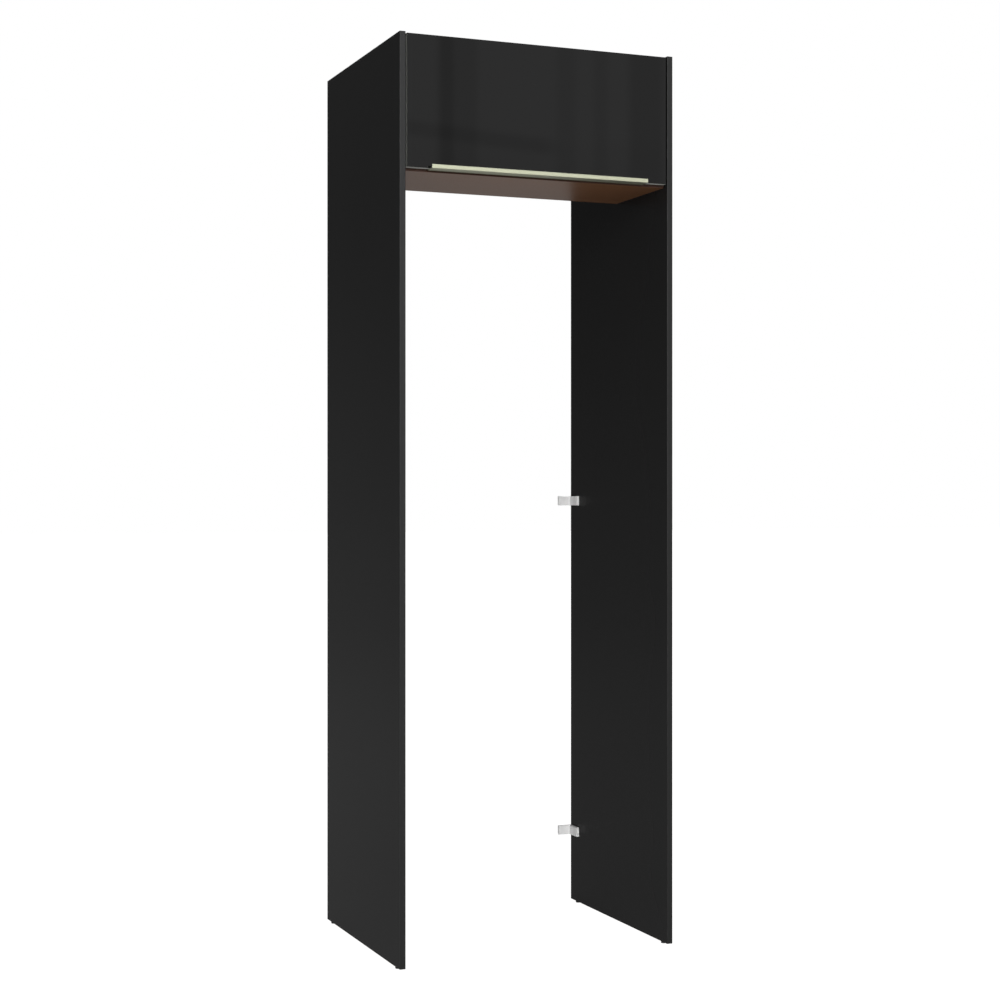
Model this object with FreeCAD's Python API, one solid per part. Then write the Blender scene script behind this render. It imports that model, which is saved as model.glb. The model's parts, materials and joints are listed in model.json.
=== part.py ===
"""Refrigerator surround: two full-height side panels carrying a shallow cupboard with a lift-up flap.

Frame: X to the right, Y to the back, Z up, millimetres.
The origin is on the floor, in the middle of the overall width and depth, handle included.
"""
import FreeCAD, Part
import math
import os
from FreeCAD import Vector

os.makedirs("parts", exist_ok=True)

# ---- driving dimensions -------------------------------------------------------------------------
# carcass
overall_width = 740.0
overall_height = 2285.0
side_depth = 608.0
board = 15.0                 # thickness of every carcass board
edge_band = 1.0              # thickness of the edge banding
band_round = 0.8             # its long outer edges
glide_height = 5.0
box_height = 335.5           # cupboard, underside of its bottom board to its top
box_depth = 307.0            # front edge of the sides to the back face of the cupboard's back
back_thickness = 3.0
groove_depth = 5.0
groove_play = 0.1            # each side of the back in its grooves
groove_stop = 1.0            # groove ends this far above the cupboard's underside
back_top_drop = 1.0          # back ends this far below the top

# flap
door_bottom_step = 6.5       # flap's lower edge above the cupboard's underside
door_thickness = 18.0
door_side_gap = 3.5
door_top_gap = 3.0
door_back_gap = 3.0          # flap's back to the front edge of the cupboard boards

# edge-pull handle under the flap
handle_inset = 59.5          # handle's end to the flap's end
handle_projection = 17.0
handle_plate = 2.5
lip_height = 10.4
lip_thickness = 2.0
flange_height = 18.5
flange_thickness = 1.2
handle_screw_count = 5
handle_screw_inset = 20.0    # first screw to the handle's end
handle_screw_below = 7.5     # screws below the flange's upper edge
lip_round = 0.9
handle_corner = 1.2          # plate to lip, outside
handle_throat = 1.5          # plate to lip, inside
handle_heel = 1.0            # plate to flange, outside

# cam and dowel joints, one set at each end of both cupboard boards
cam_radius = 7.4
cam_under_bolt = 1.1         # cam reaches this far below the bolt's head
cam_setback = 34.0           # cam axis to the board's end
cam_edge = 45.0              # cam axis to the board's front or back edge
cam_play = 0.1
cross_length = 8.0
cross_width = 1.4
cross_depth = 2.5
bolt_shank_radius = 2.6
bolt_head_radius = 3.4
bolt_head_length = 3.0
bolt_collar = 1.5
bolt_way_play = 0.3          # bolt inside the cam
bolt_head_play = 0.5         # behind the bolt's head
bolt_thread_radius = 2.5
bolt_thread_length = 11.0
bolt_bore_radius = 4.0
dowel_radius = 4.0
dowel_length = 30.0
dowel_in_side = 10.0
dowel_pitch = 32.0           # dowel to its cam, along the board's end
dowel_play = 0.05
dowel_end_play = 1.0
dowel_chamfer = 1.0
cap_radius = 8.5
cap_thickness = 1.0
cap_ease = 0.6

# screws and nails
screw_radius = 1.75
screw_play = 0.05
screw_head_radius = 3.6
screw_crown_radius = 2.5
screw_head_height = 2.0
nail_radius = 0.8
nail_head_radius = 1.8
nail_head_height = 0.6
nail_length = 18.0
nail_count = 6
nail_end = 45.0              # first nail to the side panel

# glides under the sides
glide_radius = 7.0
glide_setback = 35.0
glide_ease = 0.8
glide_recess = 1.5
glide_nail_radius = 1.1
glide_nail_length = 16.0
glide_nail_head_radius = 2.2
glide_nail_head_height = 1.1
glide_nail_play = 0.2

# wall angles with clip-on covers
angle_panel_leg = 56.0
angle_wall_leg = 41.0
angle_height = 26.0
cover_thickness = 7.0
cover_wall = 1.2
cover_bend = 1.5
cover_edge = 0.8
angle_thickness = 2.5
angle_play = 0.4             # angle inside its cover
angle_lowest = 203.5         # lowest angle's middle to the floor
angle_from_top = 202.5       # highest angle's middle to the top
angle_count = 3
angle_screw_near = 20.0      # screws to the wall plane
angle_screw_far = 42.0
angle_screw_length = 12.0
wall_hole_radius = 2.75
wall_hole_offset = 25.0      # wall hole to the side panel

# one-joint cup hinges of the flap
hinge_inset = 100.0          # hinge to the flap's end
hinge_from_edge = 7.0        # hinge axis to the flap's top edge
hinge_from_back = 8.0        # hinge axis to the flap's back face
cup_radius = 17.45
cup_depth = 12.0
cup_edge = 3.0               # cup bore to the flap's top edge
cup_play = 0.05
rim_thickness = 1.0
rim_width = 0.75             # rim beyond the cup
rim_ease = 0.4
cup_wall = 0.8
cup_corner = 2.0             # wall to floor, outside
ear_root = 12.0              # ears' root, a circle round the cup's axis
cup_screw_pitch = 48.0
cup_screw_drop = 6.0         # cup screws to the cup's axis
cup_screw_length = 11.0
ear_radius = 5.5
cheek_gap = 0.5              # cup's cheeks to the arm between them
cheek_drop = 1.6             # cheeks below the flap's back face
cheek_below_pin = 4.5
pin_radius = 1.25
pin_half_length = 9.5
pin_fit = 0.03               # pin in the cup
pin_running = 0.06           # arm's eye on the pin
eye_radius = 2.2
neck_half_width = 4.7
neck_thickness = 3.0
neck_bend = 1.5              # inside of the neck's bend
plate_height = 4.5           # top board's underside to the arm it carries
arm_start = 14.0             # hinge axis to the front of the arm's channel
arm_length = 52.0
arm_half_width = 7.0
arm_wall = 1.9
arm_nose = 6.0               # neck widens to the channel over this length
arm_bend = 1.6               # channel's lower edges
arm_gap = 0.3                # arm's channel to the plate's wings
plate_half_width = 5.0
plate_gap = 1.0              # rail to the arm's nose
plate_end = 4.0              # rail is this much shorter than the arm behind
plate_ease = 0.8
wing_root = 10.0             # wings' root, a circle between them
wing_tip = 6.5               # wings' rounded ends
wing_thickness = 2.5
wing_setback = 37.0          # plate screws to the board's front edge
wing_screw_pitch = 32.0
wing_screw_length = 12.0
arm_screw_radius = 2.0
arm_screw_head = 3.0
arm_screw_head_height = 1.5
arm_screw_grip = 2.5         # screw inside the rail
arm_screw_front = 12.0       # adjusting screw to the channel's front
arm_screw_rear = 10.0        # fixing screw to the channel's rear, in an open slot
rail_bore_depth = 3.0

# gas struts
strut_from_side = 14.0       # strut plane to the side panel
ball_drop = 40.0             # flap's strut pivot below the hinge axis
ball_standoff = 18.0         # flap's strut pivot behind the flap's back
foot_back = 230.0            # side panel's strut pivot behind the hinge axis
foot_drop = 120.0            # side panel's strut pivot below the hinge axis
door_open_angle = 90.0
ball_radius = 4.0
ball_play = 0.3
stud_radius = 2.2
socket_radius = 7.5
socket_half_width = 6.5
socket_ease = 1.5
socket_neck_radius = 5.0
socket_length = 18.0
socket_collar_radius = 6.2
socket_collar_length = 4.0
socket_collar_ease = 0.8
tube_radius = 7.5
tube_wall = 1.0
tube_floor = 3.0
tube_round = 1.5             # tube's ends, rolled over
guide_length = 12.0
tube_groove_depth = 0.7      # groove rolled round the rod guide
tube_groove_half_width = 1.6
rod_radius = 3.0
rod_running = 0.06
rod_shown_closed = 8.0
piston_radius = 6.3
piston_length = 6.0
piston_stop = 1.0            # piston to the rod guide with the flap open
stud_gap = 0.5               # flap's stud stops this short of the strut's head
bracket_thickness = 2.0
bracket_width = 16.0
bracket_corner = 4.8
bracket_height = 36.0
bracket_screw_pitch = 24.0
bracket_screw_length = 12.0
lug_radius = 6.0
door_stud_radius = 4.0
stud_collar_radius = 3.6
stud_collar_length = 1.5
stud_collar_wider = 1.2      # collar beyond the flap's stud
stud_ease = 0.6
lug_bend = 1.5               # plate to lug, inside
dimple_radius = 3.0
dimple_depth = 1.5

# soft buffers between the flap and the bottom board
buffer_radius = 3.5
buffer_ease = 1.2
buffer_play = 0.3
buffer_inset = 22.0

# ---- places worked out from them ----------------------------------------------------------------
front = handle_projection - (side_depth + handle_projection) / 2
rear = front + side_depth
side_inner = overall_width / 2 - board
box_bottom = overall_height - box_height
board_front = front + door_thickness + door_back_gap
back_face = front + box_depth
back_front = back_face - back_thickness
top_underside = overall_height - board

door_half_width = side_inner - door_side_gap
door_top = overall_height - door_top_gap
door_bottom = box_bottom + door_bottom_step
door_back = front + door_thickness
handle_half = door_half_width - handle_inset
handle_screw_pitch = 2 * (handle_half - handle_screw_inset) / (handle_screw_count - 1)

cam_height = board / 2 + bolt_head_radius + cam_under_bolt
cam_rows = (board_front + cam_edge, back_front - cam_edge)
dowel_rows = (cam_rows[0] + dowel_pitch, cam_rows[1] - dowel_pitch)
board_levels = (box_bottom, top_underside)

hinge_y = door_back - hinge_from_back
hinge_z = door_top - hinge_from_edge
hinge_x = door_half_width - hinge_inset
cup_z = door_top - cup_edge - cup_radius - cup_play
cup_inner = cup_radius - cup_wall
rim_radius = cup_radius + rim_width
cheek_x = neck_half_width + cheek_gap
arm_top = top_underside - plate_height
arm_bottom = arm_top - neck_thickness
arm_front = hinge_y + arm_start
arm_end = arm_front + arm_length
plate_y = board_front + wing_setback

strut_x = side_inner - strut_from_side
ball_y = door_back + ball_standoff
ball_z = hinge_z - ball_drop
foot_y = hinge_y + foot_back
foot_z = hinge_z - foot_drop
strut_closed = math.hypot(ball_y - foot_y, ball_z - foot_z)
ball_back = ball_y - hinge_y
opening = math.radians(door_open_angle)
ball_open_y = hinge_y + ball_back * math.cos(opening) - ball_drop * math.sin(opening)
ball_open_z = hinge_z - ball_back * math.sin(opening) - ball_drop * math.cos(opening)
strut_stroke = math.hypot(ball_open_y - foot_y, ball_open_z - foot_z) - strut_closed
strut_lean = math.degrees(math.atan2(foot_y - ball_y, ball_z - foot_z))

tube_top = strut_closed - socket_length - rod_shown_closed
guide_foot = tube_top - guide_length

glide_rows = (front + glide_setback, rear - glide_setback)
angle_pitch = (overall_height - angle_from_top - angle_lowest) / (angle_count - 1)
angle_levels = [angle_lowest + angle_pitch * i for i in range(angle_count)]
SIDES = (("left", -1), ("right", 1))
same_place = 0.001           # two points closer than this are one


# ---- helpers ------------------------------------------------------------------------------------
def block(x, y, z):
    """A box between two values on each axis, given in any order."""
    low = Vector(min(x), min(y), min(z))
    return Part.makeBox(abs(x[1] - x[0]), abs(y[1] - y[0]), abs(z[1] - z[0]), low)


def rod_along(axis, start, radius, length):
    """A round bar from start, along axis."""
    return Part.makeCylinder(radius, length, Vector(*start), Vector(*axis))


def rings(solid, places):
    """Full circles round the Z axis of a turned solid, given as (radius, distance)."""
    circles = [edge for edge in solid.Edges if edge.Curve.TypeId == "Part::GeomCircle"]
    return [edge for edge in circles for r, d in places
            if math.hypot(edge.Curve.Radius - r, edge.Curve.Center.z - d) < same_place]


def turned(profile, start, axis, rounds=()):
    """A solid of revolution: (radius, distance) points from start, along axis, some of them rounded."""
    wire = Part.makePolygon([Vector(r, 0, d) for r, d in profile + profile[:1]])
    solid = Part.Face(wire).revolve(Vector(0, 0, 0), Vector(0, 0, 1), 360)
    for radius, places in rounds:
        solid = solid.makeFillet(radius, rings(solid, places))
    spin = FreeCAD.Rotation(Vector(0, 0, 1), Vector(*axis))
    return solid.transformed(FreeCAD.Placement(Vector(*start), spin).toMatrix())


def across(outline, half_width, middle=0.0):
    """A closed (y, z) outline extruded along X, as far to each side of the middle."""
    wire = Part.makePolygon([Vector(middle - half_width, y, z) for y, z in outline + outline[:1]])
    return Part.Face(wire).extrude(Vector(2 * half_width, 0, 0))


def tongue(start, start_radius, end, end_radius, lift):
    """A flat plate round two circles, with straight sides tangent to both; lift is its thickness."""
    along = (end - start).normalize()
    beside = lift.cross(along).normalize()
    lean = (start_radius - end_radius) / (end - start).Length
    spread = math.sqrt(1 - lean * lean)
    corners = []
    for normal in (along * lean + beside * spread, along * lean - beside * spread):
        corners.append([start + normal * start_radius, end + normal * end_radius])
    sides = corners[0] + corners[1][::-1]
    discs = [Part.makeCylinder(radius, lift.Length, centre, lift)
             for radius, centre in ((start_radius, start), (end_radius, end))]
    return Part.Face(Part.makePolygon(sides + sides[:1])).extrude(lift).fuse(discs)


def screw(start, axis, length, radius=screw_radius):
    """A pan-head screw; start is the point under its head and axis points into the board."""
    return turned([(0, -screw_head_height), (screw_crown_radius, -screw_head_height),
                   (screw_head_radius, 0), (radius, 0), (radius, length - radius), (0, length)],
                  start, axis)


def flush_screw(start, axis, length, sink):
    """A countersunk screw; start is on the outer face, the head sinks by sink."""
    head = screw_radius + sink
    return turned([(0, 0), (head, 0), (screw_radius, sink), (screw_radius, length - screw_radius),
                   (0, length)], start, axis)


def flush_seat(start, axis, length, sink):
    """The hole that a countersunk screw sits in, a little larger than the screw."""
    head = screw_radius + sink + screw_play
    bore = screw_radius + screw_play
    return turned([(0, 0), (head, 0), (bore, sink), (bore, length + screw_play), (0, length + screw_play)],
                  start, axis)


def pilot(start, axis, length, radius=screw_radius):
    """The blind hole that a screw or nail of this length fills."""
    return rod_along(axis, start, radius + screw_play, length + screw_play)


def flipped(shape):
    """The same piece on the other side of the cabinet's middle plane."""
    return shape.mirror(Vector(0, 0, 0), Vector(1, 0, 0))


def on_side(shape, side):
    """A piece drawn for the right-hand side, put on side -1 or 1."""
    return shape if side > 0 else flipped(shape)


def edges_along(shape, axis, places):
    """Straight edges of shape along axis "X", "Y" or "Z", at the given places on the other two axes."""
    others = [other for other in "XYZ" if other != axis]
    found = []
    for edge in shape.Edges:
        lengths = [getattr(edge.BoundBox, other + "Length") for other in others]
        lows = [getattr(edge.BoundBox, other + "Min") for other in others]
        if max(lengths) < same_place:
            if any(math.hypot(lows[0] - u, lows[1] - v) < same_place for u, v in places):
                found.append(edge)
    return found


def both_sides(solids):
    """Solids drawn for the right-hand side, with their twins on the left."""
    return solids + [flipped(solid) for solid in solids]


def save(name, shape):
    """Write one node; a list of solids becomes one node of separate solids."""
    if isinstance(shape, list):
        shape = Part.makeCompound(shape)
    shape.exportStep("parts/" + name + ".step")


# ---- places of the repeated fixings, for the right-hand side ------------------------------------
def angle_screw_points():
    """Where the wall-angle screws enter the side panel."""
    return [(side_inner, rear - reach, level)
            for level in angle_levels for reach in (angle_screw_near, angle_screw_far)]


def strut_foot_screw_points():
    """Where the strut's foot bracket is screwed to the side panel."""
    return [(side_inner, foot_y, foot_z + step * bracket_screw_pitch / 2) for step in (-1, 1)]


def nail_points():
    """Where the back is nailed to the cupboard boards."""
    pitch = 2 * (side_inner - nail_end) / (nail_count - 1)
    return [(nail_end - side_inner + pitch * i, level + board / 2)
            for level in board_levels for i in range(nail_count)]


def wing_screw_points():
    """Where one hinge plate is screwed to the top board."""
    return [(hinge_x + step * wing_screw_pitch / 2, plate_y, top_underside) for step in (-1, 1)]


def cup_screw_points():
    """Where one hinge cup is screwed to the flap."""
    return [(hinge_x + step * cup_screw_pitch / 2, door_back, cup_z - cup_screw_drop) for step in (-1, 1)]


def door_bracket_screw_points():
    """Where the strut's head bracket is screwed to the flap."""
    x = strut_x - socket_half_width - stud_gap - bracket_width
    return [(x, door_back, ball_z + step * bracket_screw_pitch / 2) for step in (-1, 1)]


def handle_screw_points():
    """Where the handle's flange is screwed to the flap's back."""
    z = door_bottom - handle_plate + flange_height - handle_screw_below
    first = handle_screw_inset - handle_half
    return [(first + handle_screw_pitch * i, door_back + flange_thickness, z)
            for i in range(handle_screw_count)]


# ---- carcass ------------------------------------------------------------------------------------
def side_panel():
    """Right-hand side: full-height board, grooved for the back and drilled for its fixings."""
    outer = side_inner + board
    panel = block((side_inner, outer), (front + edge_band, rear), (glide_height, overall_height))
    groove = block((side_inner, side_inner + groove_depth),
                   (back_front - groove_play, back_face + groove_play),
                   (box_bottom + groove_stop, overall_height))
    cuts = [groove]
    for level in board_levels:
        for y in cam_rows:
            cuts.append(pilot((side_inner, y, level + board / 2), (1, 0, 0),
                              bolt_thread_length, bolt_thread_radius))
        for y in dowel_rows:
            cuts.append(rod_along((1, 0, 0), (side_inner, y, level + board / 2),
                                  dowel_radius + dowel_play, dowel_in_side + dowel_end_play))
    for point in angle_screw_points():
        cuts.append(pilot(point, (1, 0, 0), angle_screw_length - angle_thickness))
    for point in strut_foot_screw_points():
        cuts.append(pilot(point, (1, 0, 0), bracket_screw_length - bracket_thickness))
    for y in glide_rows:
        cuts.append(pilot((side_inner + board / 2, y, glide_height), (0, 0, 1),
                          glide_nail_length, glide_nail_radius))
    return panel.cut(cuts)


def side_band():
    """Edge band on the front edge of the right-hand side."""
    outer = side_inner + board
    band = block((side_inner, outer), (front, front + edge_band), (glide_height, overall_height))
    return band.makeFillet(band_round, edges_along(band, "Z", [(side_inner, front), (outer, front)]))


def cupboard_board(level, hinged):
    """Top or bottom board of the cupboard; cams are let in from above."""
    panel = block((-side_inner, side_inner), (board_front + edge_band, back_front), (level, level + board))
    middle = level + board / 2
    cuts = []
    for side in (-1, 1):
        end = side * side_inner
        inward = (-side, 0, 0)
        for y in cam_rows:
            centre = end - side * cam_setback
            cuts.append(rod_along((0, 0, -1), (centre, y, level + board),
                                  cam_radius + cam_play, cam_height + cam_play))
            cuts.append(rod_along(inward, (end, y, middle), bolt_bore_radius, cam_setback - cam_radius / 2))
        for y in dowel_rows:
            cuts.append(rod_along(inward, (end, y, middle), dowel_radius + dowel_play,
                                  dowel_length - dowel_in_side + dowel_end_play))
        if hinged:
            for x, y, z in wing_screw_points():
                cuts.append(pilot((side * x, y, z), (0, 0, 1), wing_screw_length - wing_thickness))
    for x, z in nail_points():
        if abs(z - middle) < board / 2:
            cuts.append(pilot((x, back_front, z), (0, -1, 0), nail_length - back_thickness, nail_radius))
    return panel.cut(cuts)


def cupboard_band(level):
    """Edge band on the front edge of a cupboard board."""
    band = block((-side_inner, side_inner), (board_front, board_front + edge_band), (level, level + board))
    corners = [(board_front, level), (board_front, level + board)]
    return band.makeFillet(band_round, edges_along(band, "X", corners))


def back_panel():
    """Thin back, held in the side grooves and nailed to both boards."""
    reach = side_inner + groove_depth - groove_play
    low = box_bottom + groove_stop + groove_play
    panel = block((-reach, reach), (back_front, back_face), (low, overall_height - back_top_drop))
    holes = [pilot((x, back_face, z), (0, -1, 0), back_thickness, nail_radius) for x, z in nail_points()]
    return panel.cut(holes)


def back_nails():
    """Nails with thin heads on the outside of the back."""
    profile = [(0, -nail_head_height), (nail_head_radius, -nail_head_height), (nail_head_radius, 0),
               (nail_radius, 0),
               (nail_radius, nail_length - nail_radius), (0, nail_length)]
    return [turned(profile, (x, back_face, z), (0, -1, 0)) for x, z in nail_points()]


# ---- cam joints ---------------------------------------------------------------------------------
def cam_places():
    """(board level, side, y) of every cam."""
    return [(level, side, y) for level in board_levels for side in (-1, 1) for y in cam_rows]


def cam_lock(level, side, y):
    """Cam with a cross recess, slotted towards the bolt it pulls."""
    x = side * (side_inner - cam_setback)
    top = level + board
    middle = level + board / 2
    body = rod_along((0, 0, -1), (x, y, top), cam_radius, cam_height)

    def bolt_way(start, end, radius):
        """Space for the bolt between two distances from the cam's axis, open at the cam's foot."""
        half = radius + bolt_way_play
        return block((x + side * start, x + side * end), (y - half, y + half),
                     (top - cam_height, middle + half))

    ways = [bolt_way(0, cam_radius, bolt_shank_radius),
            bolt_way(-bolt_way_play, bolt_head_length + bolt_head_play, bolt_head_radius)]
    arm = cross_length / 2
    half = cross_width / 2
    cross = [block((x - a, x + a), (y - b, y + b), (top - cross_depth, top))
             for a, b in ((arm, half), (half, arm))]
    return body.cut(ways + cross)


def cam_bolt(level, side, y):
    """Bolt screwed into the side panel, its head caught in the cam."""
    reach = cam_setback
    neck = reach - bolt_head_length
    profile = [(0, -bolt_thread_length), (bolt_thread_radius, -bolt_thread_length), (bolt_thread_radius, 0),
               (bolt_head_radius, 0), (bolt_head_radius, bolt_collar), (bolt_shank_radius, bolt_collar),
               (bolt_shank_radius, neck), (bolt_head_radius, neck), (bolt_head_radius, reach), (0, reach)]
    return turned(profile, (side * side_inner, y, level + board / 2), (-side, 0, 0))


def cam_cap(side, y):
    """Cover cap over a cam in the bottom board."""
    x = side * (side_inner - cam_setback)
    profile = [(0, 0), (cap_radius, 0), (cap_radius, cap_thickness - cap_ease),
               (cap_radius - cap_ease, cap_thickness), (0, cap_thickness)]
    return turned(profile, (x, y, box_bottom + board), (0, 0, 1))


def dowel(level, side, y):
    """Wooden dowel with chamfered ends, across the joint of a board and a side."""
    tip = dowel_radius - dowel_chamfer
    end = dowel_length - dowel_in_side
    profile = [(0, -dowel_in_side), (tip, -dowel_in_side), (dowel_radius, dowel_chamfer - dowel_in_side),
               (dowel_radius, end - dowel_chamfer), (tip, end), (0, end)]
    return turned(profile, (side * side_inner, y, level + board / 2), (-side, 0, 0))


# ---- glides and wall angles ---------------------------------------------------------------------
def glide(side, y):
    """Nail-on plastic glide, its edge eased at the floor."""
    x = side * (side_inner + board / 2)
    bore = glide_nail_radius + screw_play
    mouth = glide_nail_head_radius + glide_nail_play
    profile = [(mouth, 0), (glide_radius - glide_ease, 0), (glide_radius, glide_ease),
               (glide_radius, glide_height), (bore, glide_height), (bore, glide_recess),
               (mouth, glide_recess)]
    return turned(profile, (x, y, 0), (0, 0, 1))


def glide_nail(side, y):
    """Nail of one glide, its head in the glide's recess."""
    x = side * (side_inner + board / 2)
    low = glide_recess - glide_nail_head_height
    end = glide_height + glide_nail_length
    profile = [(0, low), (glide_nail_head_radius, low),
               (glide_nail_head_radius, glide_recess), (glide_nail_radius, glide_recess),
               (glide_nail_radius, end - glide_nail_radius), (0, end)]
    return turned(profile, (x, y, 0), (0, 0, 1))


def ell(inset, thickness, level, height):
    """Angle section for the right-hand corner of side and wall; inset shortens both legs."""
    panel_end = rear - angle_panel_leg + inset
    wall_end = side_inner - angle_wall_leg + inset
    corners = [(side_inner, rear), (side_inner, panel_end), (side_inner - thickness, panel_end),
               (side_inner - thickness, rear - thickness), (wall_end, rear - thickness), (wall_end, rear)]
    wire = Part.makePolygon([Vector(x, y, level - height / 2) for x, y in corners + corners[:1]])
    return Part.Face(wire).extrude(Vector(0, 0, height))


def wall_angle(level):
    """Steel angle: two screws into the side, one hole for the wall."""
    inset = cover_wall + angle_play
    height = angle_height - 2 * inset
    angle = ell(inset, angle_thickness, level, height)
    bend = edges_along(angle, "Z", [(side_inner - angle_thickness, rear - angle_thickness)])
    angle = angle.makeFillet(angle_thickness, bend)
    holes = [rod_along((1, 0, 0), (side_inner - angle_thickness, rear - reach, level),
                       screw_radius + screw_play, angle_thickness)
             for reach in (angle_screw_near, angle_screw_far)]
    holes.append(rod_along((0, 1, 0), (side_inner - wall_hole_offset, rear - angle_thickness, level),
                           wall_hole_radius, angle_thickness))
    return angle.cut(holes)


def angle_cover(level):
    """Clip-on cover: a thin shell over the angle, open towards the side and the wall."""
    shell = ell(0, cover_thickness, level, angle_height)
    inner_corner = [(side_inner - cover_thickness, rear - cover_thickness)]
    leg_ends = [(side_inner - cover_thickness, rear - angle_panel_leg),
                (side_inner - angle_wall_leg, rear - cover_thickness)]
    shell = shell.makeFillet(cover_bend, edges_along(shell, "Z", inner_corner))
    shell = shell.makeFillet(cover_edge, edges_along(shell, "Z", leg_ends))
    hollow = ell(cover_wall, cover_thickness - cover_wall, level, angle_height - 2 * cover_wall)
    return shell.cut(hollow)


# ---- flap ---------------------------------------------------------------------------------------
def door_panel():
    """Core of the flap, bored for hinge cups and drilled from behind for its fittings."""
    half = door_half_width - edge_band
    panel = block((-half, half), (front, door_back), (door_bottom + edge_band, door_top - edge_band))
    cuts = []
    for side in (-1, 1):
        cuts.append(rod_along((0, -1, 0), (side * hinge_x, door_back, cup_z), cup_radius + cup_play,
                              cup_depth + cup_play))
        for x, y, z in cup_screw_points():
            cuts.append(pilot((side * x, y, z), (0, -1, 0), cup_screw_length - rim_thickness))
        for x, y, z in door_bracket_screw_points():
            cuts.append(pilot((side * x, y, z), (0, -1, 0), bracket_screw_length - bracket_thickness))
    for x, y, z in handle_screw_points():
        cuts.append(pilot((x, door_back, z), (0, -1, 0), bracket_screw_length - flange_thickness))
    return panel.cut(cuts)


def door_bands():
    """Edge bands of the flap by name; the upright ones run between the long ones."""
    half = door_half_width
    depth = (front, door_back)
    upright = (door_bottom + edge_band, door_top - edge_band)
    top = block((-half, half), depth, (door_top - edge_band, door_top))
    bottom = block((-half, half), depth, (door_bottom, door_bottom + edge_band))
    left = block((-half, edge_band - half), depth, upright)
    right = block((half - edge_band, half), depth, upright)
    return {
        "top": top.makeFillet(band_round, edges_along(top, "X", [(y, door_top) for y in depth])),
        "bottom": bottom.makeFillet(band_round, edges_along(bottom, "X", [(y, door_bottom) for y in depth])),
        "left": left.makeFillet(band_round, edges_along(left, "Z", [(-half, y) for y in depth])),
        "right": right.makeFillet(band_round, edges_along(right, "Z", [(half, y) for y in depth])),
    }


def handle_bar():
    """Edge-pull profile: a plate under the flap, a lip turned up in front, a flange behind."""
    low = door_bottom - handle_plate
    lip_front = front - handle_projection
    lip_back = lip_front + lip_thickness
    flange_back = door_back + flange_thickness
    lip_top = low + lip_height
    flange_top = low + flange_height
    outline = [(lip_front, low), (flange_back, low), (flange_back, flange_top), (door_back, flange_top),
               (door_back, door_bottom), (lip_back, door_bottom), (lip_back, lip_top), (lip_front, lip_top)]
    bar = across(outline, handle_half)
    rounds = ((lip_round, [(lip_front, lip_top), (lip_back, lip_top)]), (handle_corner, [(lip_front, low)]),
              (handle_throat, [(lip_back, door_bottom)]), (handle_heel, [(flange_back, low)]))
    for radius, places in rounds:
        bar = bar.makeFillet(radius, edges_along(bar, "X", places))
    seats = [flush_seat(point, (0, -1, 0), bracket_screw_length, flange_thickness)
             for point in handle_screw_points()]
    return bar.cut(seats)


def handle_screws():
    """Countersunk screws through the handle's flange."""
    return [flush_screw(point, (0, -1, 0), bracket_screw_length, flange_thickness)
            for point in handle_screw_points()]


def door_buffers():
    """Soft buffers stuck on the flap's back, meeting the bottom board's front edge."""
    thickness = door_back_gap - buffer_play
    z = (door_bottom + box_bottom + board) / 2
    x = door_half_width - buffer_inset
    profile = [(0, 0), (buffer_radius, 0), (buffer_radius, thickness), (0, thickness)]
    rounding = ((buffer_ease, [(buffer_radius, thickness)]),)
    return [turned(profile, (side * x, door_back, z), (0, 1, 0), rounding) for side in (-1, 1)]


# ---- hinges (right-hand one) --------------------------------------------------------------------
def hinge_cup():
    """Pressed cup, open at its mouth, with two cheeks that hold the pin, a rim, and ears for its screws."""
    shell = [(0, -rim_thickness), (rim_radius, -rim_thickness), (rim_radius, 0), (cup_radius, 0),
             (cup_radius, cup_depth), (0, cup_depth)]
    body = turned(shell, (hinge_x, door_back, cup_z), (0, -1, 0),
                  ((rim_ease, [(rim_radius, -rim_thickness)]), (cup_corner, [(cup_radius, cup_depth)])))
    inside = [(0, -rim_thickness), (cup_inner, -rim_thickness), (cup_inner, cup_depth - cup_wall),
              (0, cup_depth - cup_wall)]
    well = turned(inside, (hinge_x, door_back, cup_z), (0, -1, 0),
                  ((cup_corner - cup_wall, [(cup_inner, cup_depth - cup_wall)]),))
    cheeks = [block((hinge_x + side * cheek_x, hinge_x + side * cup_radius),
                    (door_back - cheek_drop, door_back - cup_depth),
                    (hinge_z - cheek_below_pin, cup_z + cup_radius)) for side in (-1, 1)]
    ears = [tongue(Vector(hinge_x, door_back, cup_z - cup_screw_drop), ear_root, Vector(*point), ear_radius,
                   Vector(0, rim_thickness, 0)) for point in cup_screw_points()]
    bore = rod_along((1, 0, 0), (hinge_x - pin_half_length, hinge_y, hinge_z), pin_radius + pin_fit,
                     2 * pin_half_length)
    holes = [rod_along((0, 1, 0), point, screw_radius + screw_play, rim_thickness)
             for point in cup_screw_points()]
    return body.fuse(ears).cut([well.cut(cheeks), bore] + holes).removeSplitter()


def hinge_pin():
    """Pin across the cup's pocket; the arm's eye turns on it."""
    start = (hinge_x - pin_half_length, hinge_y, hinge_z)
    return rod_along((1, 0, 0), start, pin_radius, 2 * pin_half_length)


def gooseneck():
    """Flat neck of the arm: from the eye down to the cup's mouth, a round bend, back to the channel."""
    half = neck_thickness / 2
    corner = (hinge_y - half, arm_bottom)
    crook = (hinge_y + half, arm_top)
    end = arm_front + arm_nose
    neck = across([(hinge_y - half, hinge_z), corner, (end, arm_bottom), (end, arm_top), crook,
                   (hinge_y + half, hinge_z)], neck_half_width, hinge_x)
    neck = neck.makeFillet(neck_bend + neck_thickness, edges_along(neck, "X", [corner]))
    return neck.makeFillet(neck_bend, edges_along(neck, "X", [crook]))


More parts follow.
